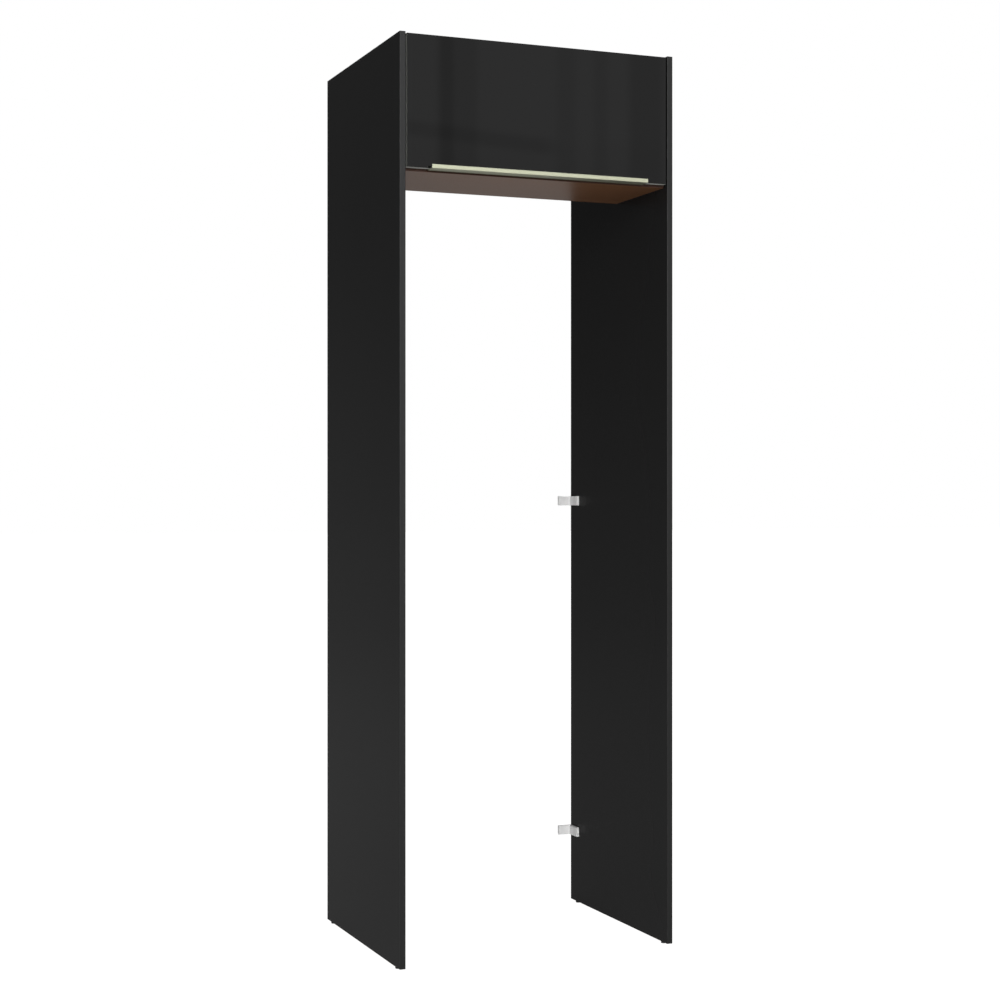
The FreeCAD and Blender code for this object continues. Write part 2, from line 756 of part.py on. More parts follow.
def channel():
    """Channel of the arm over the plate's rail: a nose that widens and rises from the neck, open behind."""
    nose_end = arm_front + arm_nose
    wall_top = top_underside - wing_thickness - arm_gap
    side_view = across([(arm_front, arm_bottom), (arm_end, arm_bottom), (arm_end, wall_top),
                        (nose_end, wall_top), (arm_front, arm_top)], arm_half_width, hinge_x)
    low_edges = [(hinge_x + side * arm_half_width, arm_bottom) for side in (-1, 1)]
    side_view = side_view.makeFillet(arm_bend, edges_along(side_view, "Y", low_edges))
    plan = []
    for side in (-1, 1):
        flank = [(neck_half_width, arm_front), (arm_half_width, nose_end), (arm_half_width, arm_end)]
        plan += [Vector(hinge_x + side * x, y, arm_bottom) for x, y in flank[::-side]]
    top_view = Part.Face(Part.makePolygon(plan + plan[:1])).extrude(Vector(0, 0, wall_top - arm_bottom))
    inside = arm_half_width - arm_wall
    hollow = block((hinge_x - inside, hinge_x + inside), (nose_end, arm_end), (arm_top, top_underside))
    return side_view.common(top_view).cut(hollow)


def hinge_arm():
    """Gooseneck arm: an eye on the pin, the neck, and the channel with its screws' hole and open slot."""
    start = (hinge_x - neck_half_width, hinge_y, hinge_z)
    eye = rod_along((1, 0, 0), start, eye_radius, 2 * neck_half_width)
    bore = rod_along((1, 0, 0), start, pin_radius + pin_running, 2 * neck_half_width)
    half = arm_screw_radius + screw_play
    holes = [rod_along((0, 0, -1), (hinge_x, y, arm_top), half, neck_thickness) for y in arm_screw_rows()]
    slot = block((hinge_x - half, hinge_x + half), (arm_screw_rows()[1], arm_end), (arm_bottom, arm_top))
    return eye.fuse([gooseneck(), channel()]).cut([bore, slot] + holes).removeSplitter()


def arm_screw_rows():
    """Where the adjusting screw and the fixing screw pass through the arm."""
    return (arm_front + arm_screw_front, arm_end - arm_screw_rear)


def hinge_plate():
    """Mounting plate: a rail for the arm and two wings screwed to the top board."""
    rail = block((hinge_x - plate_half_width, hinge_x + plate_half_width),
                 (arm_front + arm_nose + plate_gap, arm_end - plate_end), (arm_top, top_underside))
    rail_edges = [(hinge_x + side * plate_half_width, arm_top) for side in (-1, 1)]
    rail = rail.makeFillet(plate_ease, edges_along(rail, "Y", rail_edges))
    middle = Vector(hinge_x, plate_y, top_underside - wing_thickness)
    wings = [tongue(middle, wing_root, Vector(x, y, middle.z), wing_tip, Vector(0, 0, wing_thickness))
             for x, y, z in wing_screw_points()]
    cuts = [rod_along((0, 0, -1), point, screw_radius + screw_play, wing_thickness)
            for point in wing_screw_points()]
    cuts += [rod_along((0, 0, 1), (hinge_x, y, arm_top), arm_screw_radius + screw_play, rail_bore_depth)
             for y in arm_screw_rows()]
    return rail.fuse(wings).cut(cuts).removeSplitter()


def hinge_arm_screws():
    """Adjusting and fixing screws of one arm."""
    depth = neck_thickness + arm_screw_grip
    profile = [(0, -arm_screw_head_height), (arm_screw_head, -arm_screw_head_height), (arm_screw_head, 0),
               (arm_screw_radius, 0), (arm_screw_radius, depth), (0, depth)]
    return [turned(profile, (hinge_x, y, arm_bottom), (0, 0, 1)) for y in arm_screw_rows()]


# ---- gas struts (right-hand one) ----------------------------------------------------------------
def leaned(shape):
    """Put a strut piece, drawn upright from its foot ball at the origin, into its closed place."""
    turn = FreeCAD.Rotation(Vector(1, 0, 0), strut_lean)
    return shape.transformed(FreeCAD.Placement(Vector(strut_x, foot_y, foot_z), turn).toMatrix())


def strut_fitting(height, way):
    """Moulded end fitting: a round housing across the strut, a neck along it, a collar at the far end."""
    rims = [(socket_radius, -socket_half_width), (socket_radius, socket_half_width)]
    housing = turned([(0, -socket_half_width)] + rims + [(0, socket_half_width)],
                     (0, 0, height), (1, 0, 0), ((socket_ease, rims),))
    collar = socket_length - socket_collar_length
    slope = socket_collar_radius - socket_neck_radius
    neck = turned([(0, ball_radius), (socket_neck_radius, ball_radius), (socket_neck_radius, collar - slope),
                   (socket_collar_radius, collar), (socket_collar_radius, socket_length), (0, socket_length)],
                  (0, 0, height), (0, 0, way),
                  ((socket_collar_ease, [(socket_collar_radius, socket_length)]),))
    return housing.fuse(neck)


def strut_foot():
    """Lower end fitting: a socket round the side panel's ball, open towards the side."""
    reach = ball_radius + ball_play
    seat = Part.makeCylinder(reach, reach + socket_half_width, Vector(-reach, 0, 0), Vector(1, 0, 0))
    return leaned(strut_fitting(0, 1).cut(seat))


def strut_tube():
    """Pressure tube: rolled over at its ends, a rod guide at its head held by a rolled groove."""
    bottom = socket_length
    inner = tube_radius - tube_wall
    guide = rod_radius + rod_running
    groove = (guide_foot + tube_top) / 2
    waist = tube_radius - tube_groove_depth
    flat = tube_groove_half_width - tube_groove_depth
    profile = [(0, bottom), (tube_radius, bottom), (tube_radius, groove - tube_groove_half_width),
               (waist, groove - flat), (waist, groove + flat), (tube_radius, groove + tube_groove_half_width),
               (tube_radius, tube_top), (guide, tube_top), (guide, guide_foot), (inner, guide_foot),
               (inner, bottom + tube_floor), (0, bottom + tube_floor)]
    ends = [(tube_radius, bottom), (tube_radius, tube_top)]
    return leaned(turned(profile, (0, 0, 0), (0, 0, 1), ((tube_round, ends),)))


def strut_rod():
    """Polished rod; its piston meets the rod guide when the flap is fully open."""
    high = guide_foot - piston_stop - strut_stroke
    low = high - piston_length
    profile = [(0, low), (piston_radius, low), (piston_radius, high),
               (rod_radius, high), (rod_radius, strut_closed - socket_length),
               (0, strut_closed - socket_length)]
    return leaned(turned(profile, (0, 0, 0), (0, 0, 1)))


def strut_head():
    """Upper end fitting on the rod; it meets the flap's stud."""
    dimple = Part.makeCylinder(dimple_radius, dimple_depth, Vector(-socket_half_width, 0, strut_closed),
                               Vector(1, 0, 0))
    return leaned(strut_fitting(strut_closed, -1).cut(dimple))


def foot_bracket():
    """Plate with a collared ball stud, screwed to the side panel."""
    plate = block((side_inner - bracket_thickness, side_inner),
                  (foot_y - bracket_width / 2, foot_y + bracket_width / 2),
                  (foot_z - bracket_height / 2, foot_z + bracket_height / 2))
    corners = [e for e in plate.Edges if e.BoundBox.XLength > bracket_thickness / 2]
    plate = plate.makeFillet(bracket_corner, corners)
    collar_end = bracket_thickness + stud_collar_length
    stud = turned([(0, 0), (stud_collar_radius, 0), (stud_collar_radius, collar_end),
                   (stud_radius, collar_end), (stud_radius, strut_from_side), (0, strut_from_side)],
                  (side_inner, foot_y, foot_z), (-1, 0, 0),
                  ((stud_ease, [(stud_collar_radius, collar_end)]),))
    ball = Part.makeSphere(ball_radius, Vector(strut_x, foot_y, foot_z))
    holes = [rod_along((-1, 0, 0), point, screw_radius + screw_play, bracket_thickness)
             for point in strut_foot_screw_points()]
    return plate.fuse([stud, ball]).cut(holes).removeSplitter()


def door_bracket():
    """Bent plate on the flap's back: its lug stands up and carries a stud towards the strut's head."""
    stud_end = strut_x - socket_half_width - stud_gap
    lug_x = stud_end - bracket_width / 2
    screw_x = stud_end - bracket_width
    low = ball_z - bracket_height / 2
    high = ball_z + bracket_height / 2
    plate = block((screw_x - bracket_width / 2, lug_x),
                  (door_back, door_back + bracket_thickness), (low, high))
    free_end = [(screw_x - bracket_width / 2, z) for z in (low, high)]
    plate = plate.makeFillet(bracket_corner, edges_along(plate, "Y", free_end))
    lug = block((lug_x - bracket_thickness, lug_x), (door_back, ball_y),
                (ball_z - lug_radius, ball_z + lug_radius))
    ear = rod_along((-1, 0, 0), (lug_x, ball_y, ball_z), lug_radius, bracket_thickness)
    bent = plate.fuse([lug, ear]).removeSplitter()
    inside = (lug_x - bracket_thickness, door_back + bracket_thickness)
    bent = bent.makeFillet(lug_bend, edges_along(bent, "Z", [inside]))
    reach = stud_end - lug_x
    stud = turned([(0, 0), (door_stud_radius + stud_collar_wider, 0),
                   (door_stud_radius + stud_collar_wider, stud_collar_length),
                   (door_stud_radius, stud_collar_length), (door_stud_radius, reach), (0, reach)],
                  (lug_x, ball_y, ball_z), (1, 0, 0), ((stud_ease, [(door_stud_radius, reach)]),))
    holes = [rod_along((0, 1, 0), point, screw_radius + screw_play, bracket_thickness)
             for point in door_bracket_screw_points()]
    return bent.fuse(stud).cut(holes).removeSplitter()


# ---- build --------------------------------------------------------------------------------------
for name, side in SIDES:
    save(name + "_side_panel", on_side(side_panel(), side))
    save(name + "_side_edge_band", on_side(side_band(), side))
    save(name + "_wall_angles", [on_side(wall_angle(level), side) for level in angle_levels])
    save(name + "_wall_angle_covers", [on_side(angle_cover(level), side) for level in angle_levels])
    save(name + "_hinge_cup", on_side(hinge_cup(), side))
    save(name + "_hinge_pin", on_side(hinge_pin(), side))
    save(name + "_hinge_arm", on_side(hinge_arm(), side))
    save(name + "_hinge_plate", on_side(hinge_plate(), side))
    save(name + "_strut_foot", on_side(strut_foot(), side))
    save(name + "_strut_tube", on_side(strut_tube(), side))
    save(name + "_strut_rod", on_side(strut_rod(), side))
    save(name + "_strut_head", on_side(strut_head(), side))
    save(name + "_strut_foot_bracket", on_side(foot_bracket(), side))
    save(name + "_strut_door_bracket", on_side(door_bracket(), side))

save("top_panel", cupboard_board(top_underside, True))
save("bottom_panel", cupboard_board(box_bottom, False))
save("top_panel_edge_band", cupboard_band(top_underside))
save("bottom_panel_edge_band", cupboard_band(box_bottom))
save("back_panel", back_panel())
save("back_panel_nails", back_nails())
save("cam_locks", [cam_lock(*place) for place in cam_places()])
save("cam_bolts", [cam_bolt(*place) for place in cam_places()])
save("cam_caps", [cam_cap(side, y) for side in (-1, 1) for y in cam_rows])
save("dowels", [dowel(level, side, y) for level in board_levels for side in (-1, 1) for y in dowel_rows])

save("front_glides", [glide(side, glide_rows[0]) for side in (-1, 1)])
save("rear_glides", [glide(side, glide_rows[1]) for side in (-1, 1)])
save("glide_nails", [glide_nail(side, y) for side in (-1, 1) for y in glide_rows])

save("door_panel", door_panel())
for edge, band in door_bands().items():
    save("door_edge_band_" + edge, band)
save("handle_bar", handle_bar())
save("handle_screws", handle_screws())
save("door_buffers", door_buffers())

save("wall_angle_screws", both_sides([
    screw((x - angle_thickness, y, z), (1, 0, 0), angle_screw_length) for x, y, z in angle_screw_points()]))
save("hinge_plate_screws", both_sides([
    screw((x, y, z - wing_thickness), (0, 0, 1), wing_screw_length) for x, y, z in wing_screw_points()]))
save("hinge_cup_screws", both_sides([
    screw((x, y + rim_thickness, z), (0, -1, 0), cup_screw_length) for x, y, z in cup_screw_points()]))
save("hinge_arm_screws", both_sides(hinge_arm_screws()))
save("strut_foot_screws", both_sides([
    screw((x - bracket_thickness, y, z), (1, 0, 0), bracket_screw_length)
    for x, y, z in strut_foot_screw_points()]))
save("strut_door_bracket_screws", both_sides([
    screw((x, y + bracket_thickness, z), (0, -1, 0), bracket_screw_length)
    for x, y, z in door_bracket_screw_points()]))
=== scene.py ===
"""Looks of a refrigerator surround: satin graphite sides, a gloss graphite flap with a champagne edge
pull, a dark brown cupboard inside, white covers on its wall angles.

Lengths are metres, in the part's own frame: X to the right, Y to the back, Z up.
"""
import json
import math

import bpy
import numpy as np
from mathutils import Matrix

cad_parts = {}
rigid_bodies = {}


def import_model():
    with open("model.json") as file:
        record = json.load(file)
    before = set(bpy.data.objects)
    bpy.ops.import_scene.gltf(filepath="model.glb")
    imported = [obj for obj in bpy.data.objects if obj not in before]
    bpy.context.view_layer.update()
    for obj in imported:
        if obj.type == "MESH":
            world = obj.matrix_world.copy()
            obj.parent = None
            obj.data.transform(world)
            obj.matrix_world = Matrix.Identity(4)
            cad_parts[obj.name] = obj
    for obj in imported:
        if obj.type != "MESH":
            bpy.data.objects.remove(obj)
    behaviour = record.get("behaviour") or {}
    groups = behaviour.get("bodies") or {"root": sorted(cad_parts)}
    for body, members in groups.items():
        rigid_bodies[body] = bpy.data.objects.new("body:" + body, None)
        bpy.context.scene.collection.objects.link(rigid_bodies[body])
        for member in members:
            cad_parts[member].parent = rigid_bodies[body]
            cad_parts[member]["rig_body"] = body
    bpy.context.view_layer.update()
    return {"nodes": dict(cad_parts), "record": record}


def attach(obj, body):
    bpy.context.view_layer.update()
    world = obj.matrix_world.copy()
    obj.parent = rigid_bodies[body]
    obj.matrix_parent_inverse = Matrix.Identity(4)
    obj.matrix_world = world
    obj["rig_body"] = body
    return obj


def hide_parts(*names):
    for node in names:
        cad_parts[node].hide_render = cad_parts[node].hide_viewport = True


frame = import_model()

nodes = frame["nodes"]
scene = bpy.context.scene


# ---- node helpers -------------------------------------------------------------------------------
def add(tree, kind, **values):
    """One shader node with its properties set."""
    node = tree.nodes.new(kind)
    for name, value in values.items():
        setattr(node, name, value)
    return node


def wire(tree, source, target):
    """Joins an output socket to an input socket."""
    tree.links.new(source, target)


def effect(name, inputs, outputs):
    """An empty shader node group with named inputs (name, kind, value) and outputs (name, kind)."""
    group = bpy.data.node_groups.new(name, "ShaderNodeTree")
    for label, kind, value in inputs:
        socket = group.interface.new_socket(label, in_out="INPUT", socket_type="NodeSocket" + kind)
        socket.default_value = value
    for label, kind in outputs:
        group.interface.new_socket(label, in_out="OUTPUT", socket_type="NodeSocket" + kind)
    return group, group.nodes.new("NodeGroupInput"), group.nodes.new("NodeGroupOutput")


def mapped_noise(tree, vector, stretch, scale, detail):
    """Noise on a vector stretched by a factor on each axis."""
    mapping = add(tree, "ShaderNodeMapping")
    mapping.inputs["Scale"].default_value = stretch
    wire(tree, vector, mapping.inputs["Vector"])
    noise = add(tree, "ShaderNodeTexNoise")
    noise.inputs["Scale"].default_value = scale
    noise.inputs["Detail"].default_value = detail
    noise.inputs["Roughness"].default_value = 0.55
    wire(tree, mapping.outputs["Vector"], noise.inputs["Vector"])
    return noise.outputs["Fac"]


def spread(tree, value, low, high):
    """A 0 to 1 value laid out between low and high, each a number or a socket."""
    node = add(tree, "ShaderNodeMapRange")
    wire(tree, value, node.inputs["Value"])
    for label, bound in (("To Min", low), ("To Max", high)):
        if isinstance(bound, bpy.types.NodeSocket):
            wire(tree, bound, node.inputs[label])
        else:
            node.inputs[label].default_value = bound
    return node.outputs["Result"]


def fade(tree, value, start, end, low=0.0, high=1.0):
    """Low before the start, high past the end, a smooth step between."""
    node = add(tree, "ShaderNodeMapRange", interpolation_type="SMOOTHSTEP")
    wire(tree, value, node.inputs["Value"])
    for label, bound in (("From Min", start), ("From Max", end), ("To Min", low), ("To Max", high)):
        node.inputs[label].default_value = bound
    return node.outputs["Result"]


def arithmetic(tree, operation, first, second=0.0):
    """A math node; each operand is a number or a socket."""
    node = add(tree, "ShaderNodeMath", operation=operation)
    for place, value in enumerate((first, second)):
        if isinstance(value, bpy.types.NodeSocket):
            wire(tree, value, node.inputs[place])
        else:
            node.inputs[place].default_value = value
    return node.outputs[0]


def mixed(tree, factor, first, second):
    """Two colours mixed by a factor; each is a tuple or a socket."""
    node = add(tree, "ShaderNodeMix", data_type="RGBA")
    wire(tree, factor, node.inputs["Factor"])
    color_a, color_b, color_result = 6, 7, 2
    for place, value in ((color_a, first), (color_b, second)):
        if isinstance(value, bpy.types.NodeSocket):
            wire(tree, value, node.inputs[place])
        else:
            node.inputs[place].default_value = (*value, 1.0)
    return node.outputs[color_result]


def scaled(tree, vector, factor):
    """A colour or vector times a factor; each is a plain value or a socket."""
    node = add(tree, "ShaderNodeVectorMath", operation="SCALE")
    for label, value in ((0, vector), ("Scale", factor)):
        if isinstance(value, bpy.types.NodeSocket):
            wire(tree, value, node.inputs[label])
        else:
            node.inputs[label].default_value = value
    return node.outputs[0]


def object_place(tree):
    """The point on the piece, in the part's own frame."""
    return add(tree, "ShaderNodeTexCoord").outputs["Object"]


def uneven_roughness(group, given, pattern):
    """The given roughness, more or less its unevenness, after a pattern."""
    low = arithmetic(group, "SUBTRACT", given.outputs["Roughness"], given.outputs["Unevenness"])
    high = arithmetic(group, "ADD", given.outputs["Roughness"], given.outputs["Unevenness"])
    return spread(group, pattern, low, high)


# ---- effects shared by several materials --------------------------------------------------------
def melamine_texture():
    """Fine pores of a pressed board face: a shade that drifts slowly, a roughness and a height that vary
    finely."""
    group, given, out = effect("melamine_texture",
                               [("Color", "Color", (0.02, 0.02, 0.02, 1)), ("Drift", "Float", 0.06),
                                ("Roughness", "Float", 0.45), ("Unevenness", "Float", 0.06)],
                               [("Color", "Color"), ("Roughness", "Float"), ("Height", "Float")])
    place = object_place(group)
    drift = mapped_noise(group, place, (1, 1, 0.5), 3.0, 2.0)
    pores = mapped_noise(group, place, (1, 1, 1), 1400.0, 2.0)
    swells = mapped_noise(group, place, (1, 1, 1), 160.0, 3.0)
    shade = spread(group, drift, arithmetic(group, "SUBTRACT", 1.0, given.outputs["Drift"]),
                   arithmetic(group, "ADD", 1.0, given.outputs["Drift"]))
    wire(group, scaled(group, given.outputs["Color"], shade), out.inputs["Color"])
    wire(group, uneven_roughness(group, given, swells), out.inputs["Roughness"])
    swell_depth = arithmetic(group, "MULTIPLY", swells, 0.6)
    wire(group, arithmetic(group, "ADD", pores, swell_depth), out.inputs["Height"])
    return group


def chipboard_core():
    """Pressed chips seen on a cut edge: a pattern of cells with borders bent by noise, each cell with its
    own shade."""
    group, given, out = effect("chipboard_core", [("Chip density", "Float", 1.0)],
                               [("Color", "Color"), ("Height", "Float")])
    bend_scale, bend_distance, chips_per_metre = 90.0, 0.006, 420.0
    place = object_place(group)
    bend = add(group, "ShaderNodeTexNoise")
    bend.inputs["Scale"].default_value = bend_scale
    wire(group, place, bend.inputs["Vector"])
    bent = add(group, "ShaderNodeVectorMath", operation="ADD")
    wire(group, place, bent.inputs[0])
    wire(group, scaled(group, bend.outputs["Color"], bend_distance), bent.inputs[1])
    cells = add(group, "ShaderNodeTexVoronoi")
    wire(group, bent.outputs[0], cells.inputs["Vector"])
    density = arithmetic(group, "MULTIPLY", given.outputs["Chip density"], chips_per_metre)
    wire(group, density, cells.inputs["Scale"])
    ramp = add(group, "ShaderNodeValToRGB")
    ramp.color_ramp.elements[0].color = (0.19, 0.115, 0.06, 1)
    ramp.color_ramp.elements[1].color = (0.52, 0.37, 0.22, 1)
    grey = add(group, "ShaderNodeRGBToBW")
    wire(group, cells.outputs["Color"], grey.inputs[0])
    wire(group, grey.outputs[0], ramp.inputs["Fac"])
    wire(group, ramp.outputs["Color"], out.inputs["Color"])
    wire(group, cells.outputs["Distance"], out.inputs["Height"])
    return group


def faces_along():
    """1 where the surface faces along the given axis, either way, else 0."""
    group, given, out = effect("faces_along", [("Axis", "Vector", (1.0, 0.0, 0.0))], [("Mask", "Float")])
    facing = add(group, "ShaderNodeTexCoord").outputs["Normal"]
    dot = add(group, "ShaderNodeVectorMath", operation="DOT_PRODUCT")
    wire(group, facing, dot.inputs[0])
    wire(group, given.outputs["Axis"], dot.inputs[1])
    size = arithmetic(group, "ABSOLUTE", dot.outputs["Value"])
    least = 0.7
    wire(group, arithmetic(group, "GREATER_THAN", size, least), out.inputs["Mask"])
    return group


def drawn_lines():
    """Fine lines along one axis, as on drawn or brushed metal: noise stretched very long along it."""
    group, given, out = effect("drawn_lines",
                               [("Stretch", "Vector", (0.02, 1.0, 1.0)), ("Roughness", "Float", 0.3),
                                ("Unevenness", "Float", 0.08)],
                               [("Shade", "Float"), ("Roughness", "Float"), ("Height", "Float")])
    stretched = add(group, "ShaderNodeVectorMath", operation="MULTIPLY")
    wire(group, object_place(group), stretched.inputs[0])
    wire(group, given.outputs["Stretch"], stretched.inputs[1])
    noise = add(group, "ShaderNodeTexNoise")
    noise.inputs["Scale"].default_value = 2600.0
    noise.inputs["Detail"].default_value = 3.0
    wire(group, stretched.outputs[0], noise.inputs["Vector"])
    scratches = noise.outputs["Fac"]
    wire(group, spread(group, scratches, 0.88, 1.06), out.inputs["Shade"])
    wire(group, uneven_roughness(group, given, scratches), out.inputs["Roughness"])
    wire(group, scratches, out.inputs["Height"])
    return group


def moulded_skin():
    """Spark-eroded skin of moulded plastic: fine noise as roughness and height."""
    group, given, out = effect("moulded_skin",
                               [("Roughness", "Float", 0.45), ("Unevenness", "Float", 0.08)],
                               [("Shade", "Float"), ("Roughness", "Float"), ("Height", "Float")])
    place = object_place(group)
    sparks = mapped_noise(group, place, (1, 1, 1), 2200.0, 2.0)
    flow = mapped_noise(group, place, (1, 1, 1), 60.0, 2.0)
    wire(group, spread(group, flow, 0.96, 1.03), out.inputs["Shade"])
    wire(group, uneven_roughness(group, given, sparks), out.inputs["Roughness"])
    wire(group, sparks, out.inputs["Height"])
    return group


melamine = melamine_texture()
core = chipboard_core()
facing_mask = faces_along()
lines = drawn_lines()
skin = moulded_skin()


# ---- materials ----------------------------------------------------------------------------------
def place_group(tree, group, **inputs):
    """A group in a material with its own input values."""
    node = add(tree, "ShaderNodeGroup", node_tree=group)
    for label, value in inputs.items():
        node.inputs[label.replace("_", " ")].default_value = value
    return node


def new_material(name, **values):
    """A material with one Principled shader; the values are its plain inputs."""
    material = bpy.data.materials.new(name)
    material.use_nodes = True
    shader = material.node_tree.nodes["Principled BSDF"]
    for label, value in values.items():
        shader.inputs[label.replace("_", " ")].default_value = value
    return material, material.node_tree, shader


def raise_surface(tree, shader, height, strength, distance):
    """Feeds a height through a Bump node into the shader's normal."""
    bump = add(tree, "ShaderNodeBump")
    bump.inputs["Strength"].default_value = strength
    bump.inputs["Distance"].default_value = distance
    wire(tree, height, bump.inputs["Height"])
    wire(tree, bump.outputs["Normal"], shader.inputs["Normal"])


def faced_board(name, color, roughness, specular, face_axis, sheen=0.0):
    """Melamine-faced chipboard: faced across one axis, raw chips on its cut edges. Sheen is the weight of
    a satin coat on the faces."""
    raw_roughness, chip_depth, sheen_roughness = 0.85, 4.0, 0.22
    material, tree, shader = new_material(name, Specular_IOR_Level=specular)
    face = place_group(tree, melamine, Color=(*color, 1), Roughness=roughness)
    chips = place_group(tree, core)
    mask = place_group(tree, facing_mask, Axis=face_axis).outputs["Mask"]
    shown = mixed(tree, mask, chips.outputs["Color"], face.outputs["Color"])
    wire(tree, shown, shader.inputs["Base Color"])
    wire(tree, spread(tree, mask, raw_roughness, face.outputs["Roughness"]), shader.inputs["Roughness"])
    chip_height = arithmetic(tree, "MULTIPLY", chips.outputs["Height"], chip_depth)
    raise_surface(tree, shader, spread(tree, mask, chip_height, face.outputs["Height"]), 0.12, 0.0002)
    if sheen:
        wire(tree, arithmetic(tree, "MULTIPLY", mask, sheen), shader.inputs["Coat Weight"])
        shader.inputs["Coat Roughness"].default_value = sheen_roughness
    return material


def edging(name, color, roughness, specular):
    """Plastic edging, printed to match the board's face."""
    material, tree, shader = new_material(name, Specular_IOR_Level=specular)
    face = place_group(tree, melamine, Color=(*color, 1), Roughness=roughness, Drift=0.03)
    wire(tree, face.outputs["Color"], shader.inputs["Base Color"])
    wire(tree, face.outputs["Roughness"], shader.inputs["Roughness"])
    raise_surface(tree, shader, face.outputs["Height"], 0.08, 0.0002)
    return material


def front_lacquered_edging(name, level_painted_light_color, upright_painted_shade_color, lacquer, roughness, specular):
    """Plastic edging of the flap, grey, with painted light and shade: paler along its top and bottom, as
    painted light from the floor below, than on its upright sides, painted darker as shade in the gaps
    beside the side panels; the front's lacquer lies over its rounded front arris."""
    material, tree, shader = new_material(name, Specular_IOR_Level=specular)
    face = place_group(tree, melamine, Roughness=roughness, Drift=0.03)
    level = place_group(tree, facing_mask, Axis=(0.0, 0.0, 1.0)).outputs["Mask"]
    # level faces get the painted-light colour, upright faces the painted-shade colour
    wire(tree, mixed(tree, level, upright_painted_shade_color, level_painted_light_color), face.inputs["Color"])
    axes = add(tree, "ShaderNodeSeparateXYZ")
    wire(tree, add(tree, "ShaderNodeTexCoord").outputs["Normal"], axes.inputs[0])
    lacquered = fade(tree, axes.outputs["Y"], -0.25, -0.5)
    wire(tree, mixed(tree, lacquered, face.outputs["Color"], lacquer), shader.inputs["Base Color"])
    wire(tree, spread(tree, lacquered, face.outputs["Roughness"], roughness), shader.inputs["Roughness"])
    raise_surface(tree, shader, face.outputs["Height"], 0.08, 0.0002)
    return material


def metal(name, color, roughness, stretch, bump=0.1):
    """Drawn, brushed or plated metal, its lines along one axis."""
    material, tree, shader = new_material(name, Metallic=1.0)
    brushed = place_group(tree, lines, Stretch=stretch, Roughness=roughness)
    wire(tree, scaled(tree, color, brushed.outputs["Shade"]), shader.inputs["Base Color"])
    wire(tree, brushed.outputs["Roughness"], shader.inputs["Roughness"])
    raise_surface(tree, shader, brushed.outputs["Height"], bump, 0.0001)
    return material


def plastic(name, color, roughness):
    """Moulded plastic."""
    material, tree, shader = new_material(name, Specular_IOR_Level=0.5)
    moulded = place_group(tree, skin, Roughness=roughness)
    wire(tree, scaled(tree, color, moulded.outputs["Shade"]), shader.inputs["Base Color"])
    wire(tree, moulded.outputs["Roughness"], shader.inputs["Roughness"])
    raise_surface(tree, shader, moulded.outputs["Height"], 0.1, 0.0001)
    return material


def gloss_face(name, color, back_color):
    """The flap's board: clear lacquer with a very shallow long-wave unevenness over a dark ground on its
    front face, matt melamine on its back."""
    ground_roughness, back_roughness, color_change = 0.3, 0.4, 0.1
    material, tree, shader = new_material(name, Specular_IOR_Level=0.0, Coat_Roughness=0.02,
                                          Coat_IOR=1.45)
    coordinates = add(tree, "ShaderNodeTexCoord")
    axes = add(tree, "ShaderNodeSeparateXYZ")
    wire(tree, coordinates.outputs["Normal"], axes.inputs[0])
    front = arithmetic(tree, "LESS_THAN", axes.outputs["Y"], -0.5)
    back = place_group(tree, melamine, Color=(*back_color, 1), Roughness=back_roughness)
    grains = mapped_noise(tree, coordinates.outputs["Object"], (1, 1, 1), 900.0, 2.0)
    darker = tuple(c * (1.0 - color_change) for c in color)
    lighter = tuple(c * (1.0 + color_change) for c in color)
    ground = mixed(tree, grains, darker, lighter)
    wire(tree, mixed(tree, front, back.outputs["Color"], ground), shader.inputs["Base Color"])
    roughness = spread(tree, front, back.outputs["Roughness"], ground_roughness)
    wire(tree, roughness, shader.inputs["Roughness"])
    wire(tree, front, shader.inputs["Coat Weight"])
    waves = mapped_noise(tree, coordinates.outputs["Object"], (1, 1, 1), 22.0, 1.0)
    raise_surface(tree, shader, spread(tree, front, back.outputs["Height"], waves), 0.03, 0.001)
    return material


